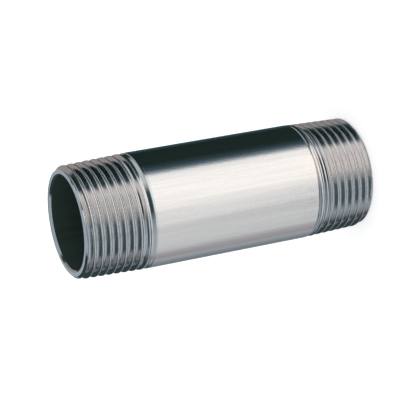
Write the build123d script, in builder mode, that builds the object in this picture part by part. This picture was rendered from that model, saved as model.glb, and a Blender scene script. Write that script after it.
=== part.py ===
from build123d import *
from math import atan, ceil, degrees, radians, tan
import os

os.makedirs("parts", exist_ok=True)

# Pipe: DN 25, standing on its lower end with the bore along Z
length = 90.0
outside_diameter = 33.7
wall = 3.2

# Ends: square faces, with the corners broken outside and inside
outer_chamfer = 1.0
inner_chamfer = 0.5

# Taper pipe thread R 1: right-handed, 11 turns to the inch, on a cone of 1 in 16.
# Each groove is a V with a sharp root, and the crests between its turns are flat.
thread_pitch = 2.309
thread_depth = 1.479
flank_angle = 55.0
thread_taper = 1 / 16

# The crests have the gauge diameter, a little under the pipe's, at the gauge length from the face,
# which the standard lets lie between 8.1 and 12.7 mm
gauge_length = 12.0
gauge_relief = 0.451

# Threaded lengths from each face, which take in the last turns, where the groove grows shallow
lower_thread_length = 18.5
upper_thread_length = 21.0
run_out_length = 5.0

# Direction round Z in which each groove sets out, a turn before its face
lower_start_angle = 0.0
upper_start_angle = -78.0

# The groove is cut a little wider and longer than the metal, so that it opens cleanly
groove_overlap = 0.2

pipe_radius = outside_diameter / 2
bore_radius = pipe_radius - wall
radius_gain = thread_taper / 2
end_crest_radius = pipe_radius - gauge_relief / 2 - gauge_length * radius_gain
end_root_radius = end_crest_radius - thread_depth
crest_length = gauge_length + gauge_relief / 2 / radius_gain


def root_radius(depth):
    """Radius of the cone that the thread's roots lie on, at this depth from the end face."""
    return end_root_radius + depth * radius_gain


def cut_groove(thread_length):
    """Thread groove of an end whose face lies on XY, with the metal above it."""
    turns = ceil((thread_length + thread_pitch) / thread_pitch) + 1
    start = -thread_pitch
    beyond = start + (turns + 1) * thread_pitch
    reach = thread_depth + groove_overlap
    half_mouth = reach * tan(radians(flank_angle / 2))
    shallow_start = thread_length - run_out_length
    lead_slope = (pipe_radius - root_radius(shallow_start)) / run_out_length
    lead_start = shallow_start - run_out_length / 2
    with BuildPart() as groove:
        # One conical helix, handed over turn by turn
        helix = Helix(
            pitch=thread_pitch,
            height=turns * thread_pitch,
            radius=root_radius(start),
            center=(0, 0, start),
            cone_angle=degrees(atan(radius_gain)),
            mode=Mode.PRIVATE,
        )
        path = Wire([helix.trim(turn / turns, (turn + 1) / turns) for turn in range(turns)])
        with BuildSketch(Plane(origin=path @ 0, x_dir=(1, 0, 0), z_dir=path % 0)):
            with BuildLine():
                Polyline((0, 0), (reach, -half_mouth), (reach, half_mouth), close=True)
            make_face()
        sweep(path=path, is_frenet=True)
        # The tool's lead, a steeper cone, lifts the root out of the pipe over the last turns
        with BuildSketch(Plane.XZ):
            with BuildLine():
                Polyline(
                    (0, lead_start),
                    (pipe_radius - (thread_length - lead_start) * lead_slope, lead_start),
                    (pipe_radius + (beyond - thread_length) * lead_slope, beyond),
                    (0, beyond),
                    close=True,
                )
            make_face()
        revolve(axis=Axis.Z, mode=Mode.SUBTRACT)
    return groove.part


lower_groove = cut_groove(lower_thread_length)
upper_groove = cut_groove(upper_thread_length)

# The nipple: one length of pipe, turned to a cone, chamfered and threaded at each end.
# Its profile lies on the -Y side, clear of where the upper groove leaves the pipe.
with BuildPart() as nipple:
    with BuildSketch(Plane(origin=(0, 0, 0), x_dir=(0, -1, 0), z_dir=(-1, 0, 0))):
        with BuildLine():
            Polyline(
                (0, 0),
                (end_crest_radius, 0),
                (pipe_radius, crest_length),
                (pipe_radius, length - crest_length),
                (end_crest_radius, length),
                (0, length),
                close=True,
            )
        make_face()
    revolve(axis=Axis.Z)
    rims = nipple.edges().filter_by(GeomType.CIRCLE).group_by(Axis.Z)
    chamfer(rims[0] + rims[-1], length=outer_chamfer)
    Hole(radius=bore_radius)
    mouths = nipple.edges().filter_by(GeomType.CIRCLE).group_by(SortBy.RADIUS)[0]
    chamfer(mouths, length=inner_chamfer)
    with Locations(Location((0, 0, 0), (0, 0, lower_start_angle))):
        add(lower_groove, mode=Mode.SUBTRACT)
    with Locations(Location((0, 0, length), (180, 0, upper_start_angle))):
        add(upper_groove, mode=Mode.SUBTRACT)

nipple.part.label = "nipple"
export_step(nipple.part, "parts/nipple.step")
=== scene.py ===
"""A threaded pipe nipple of bright drawn steel, standing on its lower end in a plain white studio.

The nipple is one surface worked out with numpy: the two taper pipe threads, the barrel, the end faces
with their chamfers, and the bore. All lengths here are in metres, except where a name says otherwise.
"""

from math import cos, pi, radians, sin, tan

import bmesh
import bpy
import numpy as np
from bpy.props import FloatProperty, FloatVectorProperty, IntProperty, PointerProperty
from mathutils import Matrix, Vector


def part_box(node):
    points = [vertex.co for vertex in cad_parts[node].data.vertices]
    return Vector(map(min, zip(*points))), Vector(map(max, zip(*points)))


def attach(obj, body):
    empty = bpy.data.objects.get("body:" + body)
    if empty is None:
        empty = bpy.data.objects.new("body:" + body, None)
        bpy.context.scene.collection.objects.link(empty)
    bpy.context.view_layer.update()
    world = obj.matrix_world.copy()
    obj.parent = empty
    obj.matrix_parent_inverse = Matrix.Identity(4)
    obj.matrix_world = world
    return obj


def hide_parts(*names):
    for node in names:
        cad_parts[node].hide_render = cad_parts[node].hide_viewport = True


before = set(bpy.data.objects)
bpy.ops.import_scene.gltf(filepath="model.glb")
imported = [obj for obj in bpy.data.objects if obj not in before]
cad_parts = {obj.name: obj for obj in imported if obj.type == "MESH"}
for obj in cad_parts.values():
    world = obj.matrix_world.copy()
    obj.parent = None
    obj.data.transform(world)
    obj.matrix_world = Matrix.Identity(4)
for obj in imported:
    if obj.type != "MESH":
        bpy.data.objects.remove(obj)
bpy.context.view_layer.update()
BOX_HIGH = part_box("nipple")[1]
PIPE_RADIUS = BOX_HIGH[0]
LENGTH = BOX_HIGH[2]
MM = 0.001

bl_info = {
    "name": "Threaded pipe nipple",
    "version": (1, 0, 0),
    "blender": (4, 5, 0),
    "location": "3D View > Sidebar > Pipe nipple",
    "description": "Builds a steel pipe nipple with a taper pipe thread on each end, and its studio",
    "category": "Add Mesh",
}


# Settings


class NippleSizes(bpy.types.PropertyGroup):
    """Sizes of the nipple that the frame's box doesn't give."""

    wall: FloatProperty(
        name="Wall", description="Thickness of the pipe's wall", default=3.2 * MM, unit="LENGTH"
    )
    outer_chamfer: FloatProperty(
        name="Outer chamfer", description="Chamfer on the outside of each end", default=1.0 * MM,
        unit="LENGTH",
    )
    inner_chamfer: FloatProperty(
        name="Inner chamfer", description="Chamfer at each mouth of the bore", default=0.5 * MM,
        unit="LENGTH",
    )
    thread_pitch: FloatProperty(
        name="Pitch", description="Distance between threads, 11 to the inch", default=2.309 * MM,
        unit="LENGTH", precision=4,
    )
    thread_depth: FloatProperty(
        name="Thread depth", description="Height of the crests over the roots", default=1.479 * MM,
        unit="LENGTH", precision=4,
    )
    flank_angle: FloatProperty(
        name="Flank angle", description="Angle between the two sides of a groove",
        default=radians(55.0), subtype="ANGLE",
    )
    root_flat: FloatProperty(
        name="Root width", description="Width of a groove's floor", default=0.385 * MM, unit="LENGTH",
        precision=4,
    )
    radius_gain: FloatProperty(
        name="Radius gain", description="Growth of the thread's radius for each unit of depth",
        default=1 / 32, precision=4,
    )
    crest_radius: FloatProperty(
        name="End crest radius", description="Radius of the crests at the end face",
        default=16.2495 * MM, unit="LENGTH", precision=4,
    )
    lower_thread_length: FloatProperty(
        name="Lower thread", description="Length of the lower thread with its last shallow turns",
        default=18.5 * MM, unit="LENGTH",
    )
    upper_thread_length: FloatProperty(
        name="Upper thread", description="Length of the upper thread with its last shallow turns",
        default=21.0 * MM, unit="LENGTH",
    )
    run_out_length: FloatProperty(
        name="Run-out", description="Length over which the groove grows shallow", default=5.0 * MM,
        unit="LENGTH",
    )
    lower_start_angle: FloatProperty(
        name="Lower start", description="Direction in which the lower groove sets out",
        default=0.0, subtype="ANGLE",
    )
    upper_start_angle: FloatProperty(
        name="Upper start", description="Direction in which the upper groove sets out",
        default=radians(-78.0), subtype="ANGLE",
    )
    crest_rounding: FloatProperty(
        name="Crest rounding", description="Height over which the crests' corners are rounded",
        default=0.18 * MM, unit="LENGTH", precision=4,
    )
    root_rounding: FloatProperty(
        name="Root rounding", description="Height over which the roots' corners are rounded",
        default=0.20 * MM, unit="LENGTH", precision=4,
    )
    chasers: IntProperty(
        name="Chasers", description="Cutters of the die, each of which leaves a step in the run-out",
        default=4, min=1,
    )
    stop_angle: FloatProperty(
        name="Stop angle", description="Direction of the cutter at which each die stopped",
        default=radians(100.5), subtype="ANGLE",
    )
    columns: IntProperty(
        name="Columns", description="Even faces round the pipe", default=180, min=24
    )


class NippleFinish(bpy.types.PropertyGroup):
    """Colours and surface of the steel."""

    steel: FloatVectorProperty(
        name="Steel", description="Colour of the drawn steel", default=(0.74, 0.73, 0.72),
        subtype="COLOR", size=3, min=0.0, max=1.0,
    )
    # Painted shade: the threads' darker, bluer colour is partly the cut steel's own tone and partly painted
    # shade of the grooves
    cut_steel_and_groove_shade: FloatVectorProperty(
        name="Cut steel and groove shade", description="Colour of the steel in the threads", default=(0.62, 0.64, 0.65),
        subtype="COLOR", size=3, min=0.0, max=1.0,
    )
    # Painted shade: the bore's near-black colour is partly dark scale and partly painted shade of the deep,
    # hollow bore
    scale: FloatVectorProperty(
        name="Bore", description="Colour of the dark scale in the bore", default=(0.030, 0.053, 0.046),
        subtype="COLOR", size=3, min=0.0, max=1.0,
    )
    roughness: FloatProperty(
        name="Roughness", description="Roughness of the drawn steel", default=0.105, min=0.0, max=1.0,
        subtype="FACTOR",
    )
    grain: FloatProperty(
        name="Grain", description="Height of the grain against the drawing streaks", default=5.0
    )
    thread_grain: FloatProperty(
        name="Thread grain", description="Share of the grain's height that is left on the threads",
        default=0.15, min=0.0, max=1.0, subtype="FACTOR",
    )
    mottle: FloatProperty(
        name="Mottle", description="Share by which the grain darkens or lightens the steel",
        default=0.08, min=0.0, max=1.0, subtype="FACTOR",
    )
    tears: FloatProperty(
        name="Tears", description="Height of the tears on the threads against the drawing streaks",
        default=1.4,
    )


class StudioSettings(bpy.types.PropertyGroup):
    """Camera and light of the studio."""

    distance: FloatProperty(
        name="Camera distance", description="Distance of the camera in front of the nipple's axis",
        default=28.149 * PIPE_RADIUS, unit="LENGTH",
    )
    height: FloatProperty(
        name="Camera height", description="Height of the camera over the floor",
        default=14.381 * PIPE_RADIUS, unit="LENGTH",
    )
    yaw: FloatProperty(
        name="Yaw", description="Turn of the camera about the vertical", default=radians(-0.045),
        subtype="ANGLE",
    )
    pitch: FloatProperty(
        name="Pitch", description="Tilt of the camera above the horizon", default=radians(-22.196),
        subtype="ANGLE",
    )
    roll: FloatProperty(
        name="Roll", description="Turn of the picture about its middle", default=radians(-100.453),
        subtype="ANGLE",
    )
    lens: FloatProperty(
        name="Focal length", description="Focal length on a 36 mm sensor, in millimetres",
        default=159.02,
    )
    floor_size: FloatProperty(
        name="Floor", description="Width of the floor", default=6.0, unit="LENGTH"
    )


# Shape of the nipple


def smooth_max(first, second, height):
    """The larger of two values, with the corner between them filled over that height.

    It is the larger one plus overlap squared / (4 * height), with overlap = height - their distance
    apart, or 0 where they lie further apart than that.
    """
    overlap = np.maximum(height - np.abs(first - second), 0.0)
    return np.maximum(first, second) + overlap**2 / (4.0 * height)


def smooth_min(first, second, height):
    """The smaller of two values, with the corner between them rounded off over that height."""
    return -smooth_max(-first, -second, height)


def blank_radius(sizes, depth):
    """Radius of the turned pipe at a depth from its end face.

    It is the smallest of the pipe's radius, a cone that grows by radius_gain, and the chamfer's cone.
    The chamfer lies at 45 degrees to the cone that it cuts.
    """
    cone = sizes.crest_radius + depth * sizes.radius_gain
    chamfer = sizes.crest_radius - sizes.outer_chamfer + depth * (1.0 + sizes.radius_gain)
    turned = np.minimum(cone, PIPE_RADIUS)
    return smooth_min(turned, chamfer, sizes.crest_rounding)


def root_radius(sizes, depth):
    """Radius of the cone that the full grooves' floors lie on."""
    return sizes.crest_radius - sizes.thread_depth + depth * sizes.radius_gain


def lead_radius(sizes, depth, thread_length):
    """Radius of the steeper cone on which the groove's floor leaves the pipe, over the run-out."""
    start = thread_length - sizes.run_out_length
    slope = (PIPE_RADIUS - root_radius(sizes, start)) / sizes.run_out_length
    return PIPE_RADIUS - (thread_length - depth) * slope


def chaser_step(sizes, angle):
    """How much deeper the cutter stopped that passed last at this angle and left the floor there.

    It is pitch / chasers * (1 - (s - floor(s))), with s = chasers * (angle - stop_angle) / 2 pi, so the
    run-out's floor is a staircase with one step for each cutter.
    """
    arc = (angle - sizes.stop_angle) / (2.0 * pi) * sizes.chasers
    return sizes.thread_pitch / sizes.chasers * (np.floor(arc) + 1.0 - arc)


def column_angles(sizes):
    """Angles of the columns round the pipe: even ones, and a close pair at each step of either thread.

    The two threads mirror each other's angles, so each step's angle is taken with its opposite.
    """
    even = np.linspace(0.0, 2.0 * pi, sizes.columns + 1)
    stops = sizes.stop_angle + np.arange(sizes.chasers) * 2.0 * pi / sizes.chasers
    stops = np.concatenate([stops, -stops]) % (2.0 * pi)
    near_step = radians(0.4)
    half_step = radians(0.05)
    close = np.abs(even[:, None] - stops[None, :]).min(axis=1) < near_step
    kept = even[~close | (np.arange(len(even)) % sizes.columns == 0)]
    return np.sort(np.concatenate([kept, stops - half_step, stops + half_step]))


def thread_surface(sizes, thread_length, start_angle, chaser_marks):
    """Points of one threaded end, as rows that follow the helix and columns round the pipe.

    A row keeps its place in the thread's form: floor, side, corner or crest. At angle a its depth is
    the groove's own depth there, pitch * (turn + (a - start_angle) / 2 pi), plus the row's offset from
    the groove's middle. The radius is the smaller of the turned blank's and the groove's, and the
    groove's is the larger of its floor, its sides at half the flank angle, and the lead's cone.
    Depths are cut off at the end face and at the thread's length, so all rows close up there. The
    crests' rounding fades out over the run-out. chaser_marks is 1 for a stepped run-out and 0 for a
    smooth one.
    """
    pitch = sizes.thread_pitch
    slope = tan(sizes.flank_angle / 2.0)
    half_root = sizes.root_flat / 2.0
    turns = int(np.ceil(thread_length / pitch)) + 3
    angle = column_angles(sizes)

    floor_parts = np.array([0.0, 0.5, 1.0])
    side_parts = np.array([0.07, 0.15, 0.24, 0.50, 0.76, 0.85, 0.93, 1.0])
    crest_parts = np.array([0.3, 0.65])
    half = np.concatenate([floor_parts, 1.0 + side_parts, 2.0 + crest_parts])
    station = np.concatenate([half, [3.0], 6.0 - half[:0:-1]])
    station = (np.arange(turns)[:, None] * 6.0 + station[None, :]).ravel()

    turn = np.floor(station / 6.0)
    place = station - 6.0 * turn
    side = np.where(place > 3.0, -1.0, 1.0)
    place = np.where(place > 3.0, 6.0 - place, place)
    turn = turn + (side < 0.0)

    lag = (angle - start_angle) / (2.0 * pi)
    middle = pitch * (turn[:, None] - 2.0 + lag[None, :])
    root = root_radius(sizes, middle)
    step = chaser_step(sizes, angle)[None, :] * chaser_marks
    lead = lead_radius(sizes, middle + step, thread_length)
    blank = np.minimum(sizes.crest_radius + middle * sizes.radius_gain, PIPE_RADIUS)
    corner = half_root + np.maximum(blank - root, 0.0) * slope
    floor_edge = half_root + np.maximum(lead - root, 0.0) * slope
    floor_edge = np.minimum(floor_edge, corner)
    part = place[:, None]
    offset = np.where(
        part <= 1.0,
        part * floor_edge,
        np.where(
            part <= 2.0,
            floor_edge + (part - 1.0) * (corner - floor_edge),
            corner + (part - 2.0) * (pitch / 2.0 - corner),
        ),
    )
    free_depth = middle + side[:, None] * offset
    depth = np.clip(free_depth, 0.0, thread_length)

    away = np.abs(depth - middle)
    sides = root_radius(sizes, depth) + (away - half_root) / slope
    floor = np.maximum(root_radius(sizes, depth), lead_radius(sizes, depth + step, thread_length))
    groove = smooth_max(sides, floor, sizes.root_rounding)
    least_share = 0.03
    share = np.clip((thread_length - depth) / sizes.run_out_length, least_share, 1.0)
    radius = smooth_min(blank_radius(sizes, depth), groove, sizes.crest_rounding * share)
    return angle, depth, radius


def ring_grid(rows, columns, first=0):
    """Corner numbers of the faces between neighbouring rows and columns of a grid of points."""
    corner = first + np.arange((rows - 1) * columns).reshape(rows - 1, columns)
    low = corner[:, :-1]
    high = low + columns
    return np.stack([low, low + 1, high + 1, high], axis=-1).reshape(-1, 4)


def ring_points(angle, height, radius):
    """Points at those angles, heights and radii round the nipple's axis."""
    x = radius * np.cos(angle)
    y = radius * np.sin(angle)
    return np.stack([x, y, height + 0.0 * x], axis=-1)


def nipple_grids(sizes):
    """The grids of points that make up the nipple, from the lower thread round to the bore."""
    bore = PIPE_RADIUS - sizes.wall
    angle, low_depth, low_radius = thread_surface(
        sizes, sizes.lower_thread_length, sizes.lower_start_angle, 0.0
    )
    _, high_depth, high_radius = thread_surface(
        sizes, sizes.upper_thread_length, sizes.upper_start_angle, 1.0
    )
    # The upper end is the lower one's form turned half round the X axis
    mirror = slice(None, None, -1)
    lower = ring_points(angle, low_depth, low_radius)
    upper = ring_points(-angle, LENGTH - high_depth, high_radius)[mirror, mirror]

    top_of_lower = sizes.lower_thread_length
    foot_of_upper = LENGTH - sizes.upper_thread_length
    # Close rows at both ends keep the bend of the threads' last edges out of the long faces between
    close_rows = np.array([0.0, 0.1, 0.2, 0.3]) * MM
    inset = 2.0 * MM
    even_rows = np.linspace(top_of_lower + inset, foot_of_upper - inset, 9)
    heights = np.concatenate([top_of_lower + close_rows, even_rows, (foot_of_upper - close_rows)[::-1]])
    heights = heights[:, None]
    barrel = ring_points(angle[None, :], heights, np.full_like(heights, PIPE_RADIUS))
    barrel[0, :, :] = lower[-1, :, :]
    barrel[-1, :, :] = upper[0, :, :]

    mouth = np.array([bore + sizes.inner_chamfer, bore])
    low_mouth = ring_points(angle[None, :], np.array([[0.0], [sizes.inner_chamfer]]), mouth[:, None])
    high_mouth = ring_points(
        angle[None, :], np.array([[LENGTH], [LENGTH - sizes.inner_chamfer]]), mouth[:, None]
    )
    steel = [lower, barrel, upper]
    steel.append(np.stack([upper[-1], high_mouth[0]]))
    steel.append(high_mouth)
    inside = [np.stack([high_mouth[1], low_mouth[1]])]
    steel.append(low_mouth[mirror])
    steel.append(np.stack([low_mouth[0], lower[0]]))
    return steel, inside


def closed_mesh(name, grids):
    """One closed mesh of the grids, given as (grid, material number) pairs, its touching points merged."""
    points, faces, slots = [], [], []
    first = 0
    for grid, slot in grids:
        rows, columns = grid.shape[:2]
        points.append(grid.reshape(-1, 3))
        quads = ring_grid(rows, columns, first)
        faces.append(quads)
        slots.append(np.full(len(quads), slot))
        first += rows * columns
    points = np.concatenate(points)
    faces = np.concatenate(faces)
    slots = np.concatenate(slots)
    # Rows cut off at an end lie on one another, and the faces between them have no area. The cross
    # product of a face's diagonals is twice its area.
    least_double_area = 1e-14
    merging_distance = 0.2e-6
    cross = np.cross(points[faces[:, 2]] - points[faces[:, 0]], points[faces[:, 3]] - points[faces[:, 1]])
    kept = np.linalg.norm(cross, axis=1) > least_double_area
    mesh = bpy.data.meshes.new(name)
    mesh.from_pydata(points, [], faces[kept])
    mesh.polygons.foreach_set("material_index", slots[kept].astype(np.int32))
    form = bmesh.new()
    form.from_mesh(mesh)
    bmesh.ops.remove_doubles(form, verts=form.verts, dist=merging_distance)
    bmesh.ops.recalc_face_normals(form, faces=form.faces)
    form.to_mesh(mesh)
    form.free()
    mesh.polygons.foreach_set("use_smooth", np.ones(len(mesh.polygons), dtype=bool))
    mesh.set_sharp_from_angle(angle=radians(35.0))
    mesh.update()
    return mesh


# Materials


def new_material(name):
    """An empty node material, with its tree."""
    material = bpy.data.materials.new(name)
    material.use_nodes = True
    tree = material.node_tree
    tree.nodes.clear()
    return material, tree


def add(tree, kind, **values):
    """A node of that kind, with its properties set."""
    node = tree.nodes.new(kind)
    for key, value in values.items():
        setattr(node, key, value)
    return node


def calculate(tree, operation, first, second=0.0, third=0.0):
    """A Math node over sockets or numbers, and its output."""
    node = add(tree, "ShaderNodeMath", operation=operation)
    for place, value in enumerate((first, second, third)):
        if isinstance(value, bpy.types.NodeSocket):
            tree.links.new(value, node.inputs[place])
        else:
            node.inputs[place].default_value = value
    return node.outputs[0]


def colour_ramp(tree, value, stops):
    """A colour ramp over that value, with its stops given as (place, colour) pairs."""
    node = add(tree, "ShaderNodeValToRGB")
    while len(node.color_ramp.elements) < len(stops):
        node.color_ramp.elements.new(0.5)
    for stop, (place, colour) in zip(node.color_ramp.elements, stops):
        stop.position = place
        stop.color = (*colour, 1.0)
    tree.links.new(value, node.inputs[0])
    return node.outputs[0]


def turn_at(azimuth):
    """Place from 0 to 1 of an azimuth from -180 to 180 degrees, where 0 is the camera's side and 90 is +X."""
    return azimuth / 360.0 + 0.5


def ring_of_cards(tree, turn, cards):
    """A ring of cards, given as (azimuth in degrees, colour) pairs."""
    return colour_ramp(tree, turn, [(turn_at(azimuth), colour) for azimuth, colour in cards])


def fade(tree, value, low, high):
    """A smooth step from 0 where the value is low to 1 where it is high, where low may be the larger."""
    node = add(tree, "ShaderNodeMapRange", interpolation_type="SMOOTHSTEP")
    node.inputs["From Min"].default_value = low
    node.inputs["From Max"].default_value = high
    tree.links.new(value, node.inputs["Value"])
    return node.outputs[0]


def fade_upwards(tree, height, low, high):
    """A smooth step from 0 to 1 between two elevations in degrees, over the height of a unit direction."""
    return fade(tree, height, sin(radians(low)), sin(radians(high)))


def blend(tree, factor, first, second):
    """A mix of two colours, given as sockets or as plain colours."""
    node = add(tree, "ShaderNodeMix", data_type="RGBA")
    tree.links.new(factor, node.inputs[0])
    for place, colour in ((6, first), (7, second)):
        if isinstance(colour, bpy.types.NodeSocket):
            tree.links.new(colour, node.inputs[place])
        else:
            node.inputs[place].default_value = (*colour, 1.0)
    return node.outputs[2]


def spread(tree, value, low, high):
    """A noise's value, with its usual range of 0.3 to 0.7 stretched to run from low to high."""
    node = add(tree, "ShaderNodeMapRange")
    node.inputs["From Min"].default_value = 0.3
    node.inputs["From Max"].default_value = 0.7
    node.inputs["To Min"].default_value = low
    node.inputs["To Max"].default_value = high
    tree.links.new(value, node.inputs["Value"])
    return node.outputs[0]


def drawn_streaks_group():
    """Node group: fine uneven lines along the pipe, left by drawing, from noise stretched along Z."""
    group = bpy.data.node_groups.new("Drawn streaks", "ShaderNodeTree")
    group.interface.new_socket("Width", in_out="INPUT", socket_type="NodeSocketFloat")
    group.interface.new_socket("Stretch", in_out="INPUT", socket_type="NodeSocketFloat")
    group.interface.new_socket("Streaks", in_out="OUTPUT", socket_type="NodeSocketFloat")
    enter = add(group, "NodeGroupInput")
    leave = add(group, "NodeGroupOutput")
    place = add(group, "ShaderNodeTexCoord")
    apart = add(group, "ShaderNodeSeparateXYZ")
    joined = add(group, "ShaderNodeCombineXYZ")
    group.links.new(place.outputs["Object"], apart.inputs[0])
    group.links.new(apart.outputs["X"], joined.inputs["X"])
    group.links.new(apart.outputs["Y"], joined.inputs["Y"])
    along = calculate(group, "MULTIPLY", apart.outputs["Z"], enter.outputs["Stretch"])
    group.links.new(along, joined.inputs["Z"])
    noise = add(group, "ShaderNodeTexNoise")
    noise.inputs["Detail"].default_value = 4.0
    noise.inputs["Roughness"].default_value = 0.65
    scale = calculate(group, "DIVIDE", 1.0, enter.outputs["Width"])
    group.links.new(scale, noise.inputs["Scale"])
    group.links.new(joined.outputs[0], noise.inputs["Vector"])
    group.links.new(noise.outputs[0], leave.inputs["Streaks"])
    return group


def threads_mask(tree, place, sizes):
    """1 on both threads and 0 on the barrel, by the distance along Z from the barrel's middle."""
    apart = add(tree, "ShaderNodeSeparateXYZ")
    tree.links.new(place, apart.inputs[0])
    half_barrel = (LENGTH - sizes.lower_thread_length - sizes.upper_thread_length) / 2.0
    middle = sizes.lower_thread_length + half_barrel
    off_middle = calculate(tree, "ABSOLUTE", calculate(tree, "SUBTRACT", apart.outputs["Z"], middle))
    return calculate(tree, "GREATER_THAN", off_middle, half_barrel)


def uneven_colour(tree, colour, strength):
    """A colour, plain or a socket, times a strength that changes over the surface."""
    node = add(tree, "ShaderNodeVectorMath", operation="SCALE")
    if isinstance(colour, bpy.types.NodeSocket):
        tree.links.new(colour, node.inputs[0])
    else:
        node.inputs[0].default_value = colour
    tree.links.new(strength, node.inputs["Scale"])
    return node.outputs[0]


def streaks_of(tree, width, stretch):
    """The drawn streaks as a material uses them, with their width, and their stretch along Z."""
    node = add(tree, "ShaderNodeGroup", node_tree=bpy.data.node_groups["Drawn streaks"])
    node.inputs["Width"].default_value = width
    node.inputs["Stretch"].default_value = stretch
    return node.outputs[0]


def bumpy_normal(tree, height, strength, distance):
    """The normal of a Bump node over that height."""
    node = add(tree, "ShaderNodeBump")
    node.inputs["Strength"].default_value = strength
    node.inputs["Distance"].default_value = distance
    tree.links.new(height, node.inputs["Height"])
    return node.outputs[0]


def steel_material(sizes, finish):
    """Bright drawn steel: metal with streaks along the pipe and a fine grain, darker on the threads, where
    the colour is partly cut steel and partly painted shade of the grooves.
    """
    material, tree = new_material("Drawn steel")
    out = add(tree, "ShaderNodeOutputMaterial")
    shader = add(tree, "ShaderNodeBsdfPrincipled")
    shader.inputs["Metallic"].default_value = 1.0
    tree.links.new(shader.outputs[0], out.inputs[0])

    streaks = streaks_of(tree, 0.9 * MM, 0.025)
    place = add(tree, "ShaderNodeTexCoord").outputs["Object"]
    grain = add(tree, "ShaderNodeTexNoise")
    grain.inputs["Scale"].default_value = 1.0 / (0.42 * MM)
    grain.inputs["Detail"].default_value = 2.0
    tree.links.new(place, grain.inputs["Vector"])
    grain = grain.outputs[0]
    threads = threads_mask(tree, place, sizes)

    mottle = calculate(tree, "MULTIPLY_ADD", grain, 2.0 * finish.mottle, 1.0 - finish.mottle)
    uneven = calculate(tree, "MULTIPLY", spread(tree, streaks, 0.92, 1.04), mottle)
    # The darker colour on the threads is partly cut steel and partly painted shade of the grooves
    colour = uneven_colour(tree, blend(tree, threads, finish.steel, finish.cut_steel_and_groove_shade), uneven)
    tree.links.new(colour, shader.inputs["Base Color"])
    dull = spread(tree, streaks, finish.roughness * 0.8, finish.roughness * 1.3)
    tree.links.new(dull, shader.inputs["Roughness"])

    # Height of the surface: drawing streaks, a fine grain, and tears across the ridges of the threads
    fewer_grains = finish.grain * (finish.thread_grain - 1.0)
    grain_height = calculate(tree, "MULTIPLY_ADD", threads, fewer_grains, finish.grain)
    height = calculate(tree, "MULTIPLY_ADD", grain, grain_height, streaks)
    tears_height = calculate(tree, "MULTIPLY", threads, finish.tears)
    height = calculate(tree, "MULTIPLY_ADD", streaks_of(tree, 0.5 * MM, 0.35), tears_height, height)
    tree.links.new(bumpy_normal(tree, height, 0.25, 0.02 * MM), shader.inputs["Normal"])
    return material


def bore_scale_and_shade_material(finish):
    """The bore's near-black colour, partly dark scale and partly painted shade of the deep bore: rough, with
    uneven streaks along the pipe.
    """
    material, tree = new_material("Dark scale and bore shade")
    out = add(tree, "ShaderNodeOutputMaterial")
    shader = add(tree, "ShaderNodeBsdfPrincipled")
    shader.inputs["Specular IOR Level"].default_value = 0.2
    tree.links.new(shader.outputs[0], out.inputs[0])

    streaks = streaks_of(tree, 1.6 * MM, 0.12)
    # The near-black base colour is partly scale and partly painted shade of the bore
    colour = uneven_colour(tree, finish.scale, spread(tree, streaks, 0.88, 1.12))
    tree.links.new(colour, shader.inputs["Base Color"])
    tree.links.new(spread(tree, streaks, 0.6, 0.8), shader.inputs["Roughness"])
    tree.links.new(bumpy_normal(tree, streaks, 0.2, 0.05 * MM), shader.inputs["Normal"])
    return material


# Operators


class NIPPLE_OT_body(bpy.types.Operator):
    """Build the nipple with its threads, and give it its steel"""

    bl_idname = "nipple.body"
    bl_label = "Nipple"

    def execute(self, context):
        sizes = context.scene.nipple_sizes
        finish = context.scene.nipple_finish
        steel, inside = nipple_grids(sizes)
        grids = [(grid, 0) for grid in steel] + [(grid, 1) for grid in inside]
        mesh = closed_mesh("nipple_body", grids)
        if not len(mesh.polygons):
            raise RuntimeError("the nipple has no faces")
        drawn_streaks_group()
        mesh.materials.append(steel_material(sizes, finish))
        mesh.materials.append(bore_scale_and_shade_material(finish))
        body = bpy.data.objects.new("nipple_body", mesh)
        context.scene.collection.objects.link(body)
        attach(body, "root")
        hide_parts("nipple")
        return {"FINISHED"}


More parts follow.
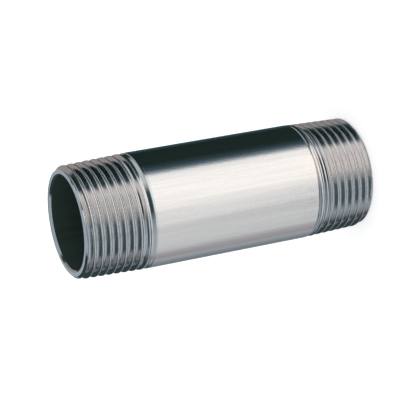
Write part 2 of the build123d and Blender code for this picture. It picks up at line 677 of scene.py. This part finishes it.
def reflected_room(tree, place):
    """Colour of the studio as bright metal shows it, by direction: three rings of cards and a ceiling.

    The level ring lies a little under the horizon and shows in the barrel, the low ring is the table
    round the nipple and shows in the grooves, and the high ring shows in the end face and chamfers.
    Flags and one more card are laid over the rings.
    """
    apart = add(tree, "ShaderNodeSeparateXYZ")
    tree.links.new(place, apart.inputs[0])
    away = calculate(tree, "MULTIPLY", apart.outputs["Y"], -1.0)
    azimuth = calculate(tree, "ARCTAN2", apart.outputs["X"], away)
    turn = calculate(tree, "MULTIPLY_ADD", azimuth, 0.5 / pi, 0.5)
    level = ring_of_cards(tree, turn, (
        (-180, (0.10, 0.13, 0.15)),
        (-164, (0.24, 0.28, 0.31)),
        (-150, (0.18, 0.22, 0.25)),
        (-128, (0.41, 0.44, 0.49)),
        (-116, (0.38, 0.37, 0.38)),
        (-106, (0.47, 0.46, 0.48)),
        (-92, (0.68, 0.70, 0.72)),
        (-64, (0.77, 0.79, 0.80)),
        (-46, (0.73, 0.73, 0.75)),
        (-34, (0.93, 0.93, 0.94)),
        (-12, (1.02, 1.01, 1.00)),
        (3, (1.24, 1.22, 1.19)),
        (40, (1.28, 1.26, 1.23)),
        (64, (1.10, 1.09, 1.08)),
        (67, (0.36, 0.43, 0.50)),
        (75, (0.055, 0.095, 0.12)),
        (90, (0.015, 0.030, 0.028)),
        (142, (0.013, 0.026, 0.023)),
        (156, (0.04, 0.08, 0.10)),
        (172, (0.03, 0.07, 0.10)),
    ))
    low = ring_of_cards(tree, turn, (
        (-180, (0.02, 0.04, 0.04)),
        (-120, (0.03, 0.05, 0.05)),
        (-90, (0.06, 0.09, 0.10)),
        (-26, (0.12, 0.15, 0.16)),
        (-10, (0.58, 0.52, 0.49)),
        (14, (1.15, 0.93, 0.85)),
        (62, (1.10, 0.91, 0.84)),
        (74, (0.03, 0.06, 0.06)),
        (145, (0.02, 0.04, 0.04)),
        (165, (0.70, 0.55, 0.50)),
    ))
    high = ring_of_cards(tree, turn, (
        (-180, (0.46, 0.52, 0.60)),
        (-120, (0.45, 0.50, 0.56)),
        (-60, (0.50, 0.55, 0.62)),
        (-24, (0.30, 0.36, 0.40)),
        (-8, (0.04, 0.07, 0.09)),
        (30, (0.05, 0.08, 0.10)),
        (50, (0.80, 0.78, 0.76)),
        (100, (0.60, 0.64, 0.70)),
        (128, (0.30, 0.31, 0.33)),
        (146, (0.42, 0.37, 0.36)),
        (168, (0.40, 0.35, 0.34)),
        (175, (0.46, 0.52, 0.60)),
    ))
    height = apart.outputs["Z"]
    # The table is lighter further away. A grey card shows at the nipple's foot, in the directions
    # below a plane that rises away from the camera.
    far_table = fade_upwards(tree, height, -50.0, -45.0)
    table = uneven_colour(tree, low, calculate(tree, "MULTIPLY_ADD", far_table, 0.4, 1.0))
    card_slope, card_starts, card_full = -0.273, -0.66, -0.72
    over_card = calculate(tree, "MULTIPLY_ADD", apart.outputs["Y"], card_slope, height)
    table = blend(tree, fade(tree, over_card, card_starts, card_full), table, (0.36, 0.41, 0.46))
    room = blend(tree, fade_upwards(tree, height, -30.0, -28.5), table, level)
    room = blend(tree, fade_upwards(tree, height, -5.0, -1.0), room, high)
    # Two dark flags hang on the -X side, a little behind the nipple, with a light gap between them
    darkness = ((-16, 0), (-13, 1), (-10, 1), (-7, 0), (-2, 0), (2, 1), (40, 1), (45, 0))
    flags = colour_ramp(tree, calculate(tree, "MULTIPLY_ADD", height, 0.5, 0.5), [
        (sin(radians(elevation)) * 0.5 + 0.5, (dark, dark, dark)) for elevation, dark in darkness
    ])
    near_edge = fade(tree, turn, turn_at(-102.0), turn_at(-112.0))
    far_edge = fade(tree, turn, turn_at(-174.0), turn_at(-168.0))
    flags = calculate(tree, "MULTIPLY", flags, calculate(tree, "MULTIPLY", near_edge, far_edge))
    room = blend(tree, flags, room, (0.04, 0.06, 0.065))
    ceiling = fade_upwards(tree, height, 48.0, 54.0)
    room = blend(tree, ceiling, room, (0.46, 0.52, 0.58))
    # Behind the nipple the upper half of the studio is dark
    behind = fade(tree, apart.outputs["Y"], 0.05, 0.20)
    upper = fade_upwards(tree, height, 35.0, 39.0)
    return blend(tree, calculate(tree, "MULTIPLY", behind, upper), room, (0.02, 0.04, 0.04))


def make_world(scene):
    """White to the camera, plain soft light to matt surfaces, and cards and flags to bright metal."""
    world = bpy.data.worlds.new("Studio")
    scene.world = world
    world.use_nodes = True
    tree = world.node_tree
    tree.nodes.clear()
    out = add(tree, "ShaderNodeOutputWorld")
    place = add(tree, "ShaderNodeTexCoord")
    rays = add(tree, "ShaderNodeLightPath")
    soft = add(tree, "ShaderNodeBackground")
    soft.inputs["Color"].default_value = (1.0, 1.0, 1.0, 1.0)
    soft.inputs["Strength"].default_value = 0.9
    seen = add(tree, "ShaderNodeBackground")
    seen.inputs["Color"].default_value = (1.0, 1.0, 1.0, 1.0)
    seen.inputs["Strength"].default_value = 1.0
    metal = add(tree, "ShaderNodeBackground")
    tree.links.new(reflected_room(tree, place.outputs["Generated"]), metal.inputs["Color"])
    white = calculate(tree, "MAXIMUM", rays.outputs["Is Camera Ray"], rays.outputs["Is Transmission Ray"])
    first = add(tree, "ShaderNodeMixShader")
    tree.links.new(white, first.inputs[0])
    tree.links.new(soft.outputs[0], first.inputs[1])
    tree.links.new(seen.outputs[0], first.inputs[2])
    second = add(tree, "ShaderNodeMixShader")
    tree.links.new(rays.outputs["Is Glossy Ray"], second.inputs[0])
    tree.links.new(first.outputs[0], second.inputs[1])
    tree.links.new(metal.outputs[0], second.inputs[2])
    tree.links.new(second.outputs[0], out.inputs[0])


def make_floor(scene, size):
    """A plain pale floor that keeps the shadow and shows white to the camera."""
    material, tree = new_material("Studio floor")
    out = add(tree, "ShaderNodeOutputMaterial")
    matt = add(tree, "ShaderNodeBsdfDiffuse")
    matt.inputs["Color"].default_value = (0.82, 0.82, 0.82, 1.0)
    glow = add(tree, "ShaderNodeEmission")
    glow.inputs["Color"].default_value = (1.0, 1.0, 1.0, 1.0)
    rays = add(tree, "ShaderNodeLightPath")
    glow_strength = 0.44
    lift = calculate(tree, "MULTIPLY", rays.outputs["Is Camera Ray"], glow_strength)
    tree.links.new(lift, glow.inputs["Strength"])
    both = add(tree, "ShaderNodeAddShader")
    tree.links.new(matt.outputs[0], both.inputs[0])
    tree.links.new(glow.outputs[0], both.inputs[1])
    tree.links.new(both.outputs[0], out.inputs[0])
    half = size / 2.0
    mesh = bpy.data.meshes.new("studio_floor")
    corners = [(-half, -half, 0.0), (half, -half, 0.0), (half, half, 0.0), (-half, half, 0.0)]
    mesh.from_pydata(corners, [], [(0, 1, 2, 3)])
    mesh.materials.append(material)
    floor = bpy.data.objects.new("studio_floor", mesh)
    floor.visible_glossy = False
    scene.collection.objects.link(floor)
    return floor


def make_camera(scene, studio):
    """The camera at the photograph's viewing angle, rolled so that the nipple lies across the picture."""
    across = Vector((cos(studio.yaw), -sin(studio.yaw), 0.0))
    ahead = Vector(
        (sin(studio.yaw) * cos(studio.pitch), cos(studio.yaw) * cos(studio.pitch), sin(studio.pitch))
    )
    upward = across.cross(ahead)
    right = across * cos(studio.roll) + upward * sin(studio.roll)
    up = upward * cos(studio.roll) - across * sin(studio.roll)
    turn = Matrix((right, up, -ahead)).transposed().to_4x4()
    data = bpy.data.cameras.new("camera")
    data.lens = studio.lens
    data.sensor_width = 36.0
    data.clip_start = 0.01
    camera = bpy.data.objects.new("camera", data)
    camera.matrix_world = Matrix.Translation((0.0, -studio.distance, studio.height)) @ turn
    scene.collection.objects.link(camera)
    scene.camera = camera


class NIPPLE_OT_studio(bpy.types.Operator):
    """Set the pale floor, the soft light and the camera"""

    bl_idname = "nipple.studio"
    bl_label = "Studio"

    def execute(self, context):
        scene = context.scene
        studio = scene.nipple_studio
        scene.view_settings.view_transform = "Standard"
        make_world(scene)
        make_floor(scene, studio.floor_size)
        make_camera(scene, studio)
        return {"FINISHED"}


class NIPPLE_PT_panel(bpy.types.Panel):
    """Lists the settings and the steps"""

    bl_label = "Pipe nipple"
    bl_idname = "NIPPLE_PT_panel"
    bl_space_type = "VIEW_3D"
    bl_region_type = "UI"
    bl_category = "Pipe nipple"

    def draw(self, context):
        scene = context.scene
        for title, group in (
            ("Sizes", scene.nipple_sizes),
            ("Finish", scene.nipple_finish),
            ("Studio", scene.nipple_studio),
        ):
            part = self.layout.box()
            part.label(text=title)
            for name in group.__annotations__:
                part.prop(group, name)
        for operator in (NIPPLE_OT_body, NIPPLE_OT_studio):
            self.layout.operator(operator.bl_idname)


CLASSES = (
    NippleSizes,
    NippleFinish,
    StudioSettings,
    NIPPLE_OT_body,
    NIPPLE_OT_studio,
    NIPPLE_PT_panel,
)


def register():
    """Registers the classes and ties the settings to the scene."""
    for kind in CLASSES:
        bpy.utils.register_class(kind)
    bpy.types.Scene.nipple_sizes = PointerProperty(type=NippleSizes)
    bpy.types.Scene.nipple_finish = PointerProperty(type=NippleFinish)
    bpy.types.Scene.nipple_studio = PointerProperty(type=StudioSettings)


def unregister():
    """Takes the settings and the classes away again."""
    del bpy.types.Scene.nipple_studio
    del bpy.types.Scene.nipple_finish
    del bpy.types.Scene.nipple_sizes
    for kind in reversed(CLASSES):
        bpy.utils.unregister_class(kind)


def main():
    """Registers the add-on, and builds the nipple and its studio."""
    register()
    bpy.ops.nipple.body()
    bpy.ops.nipple.studio()


if __name__ == "__main__":
    main()
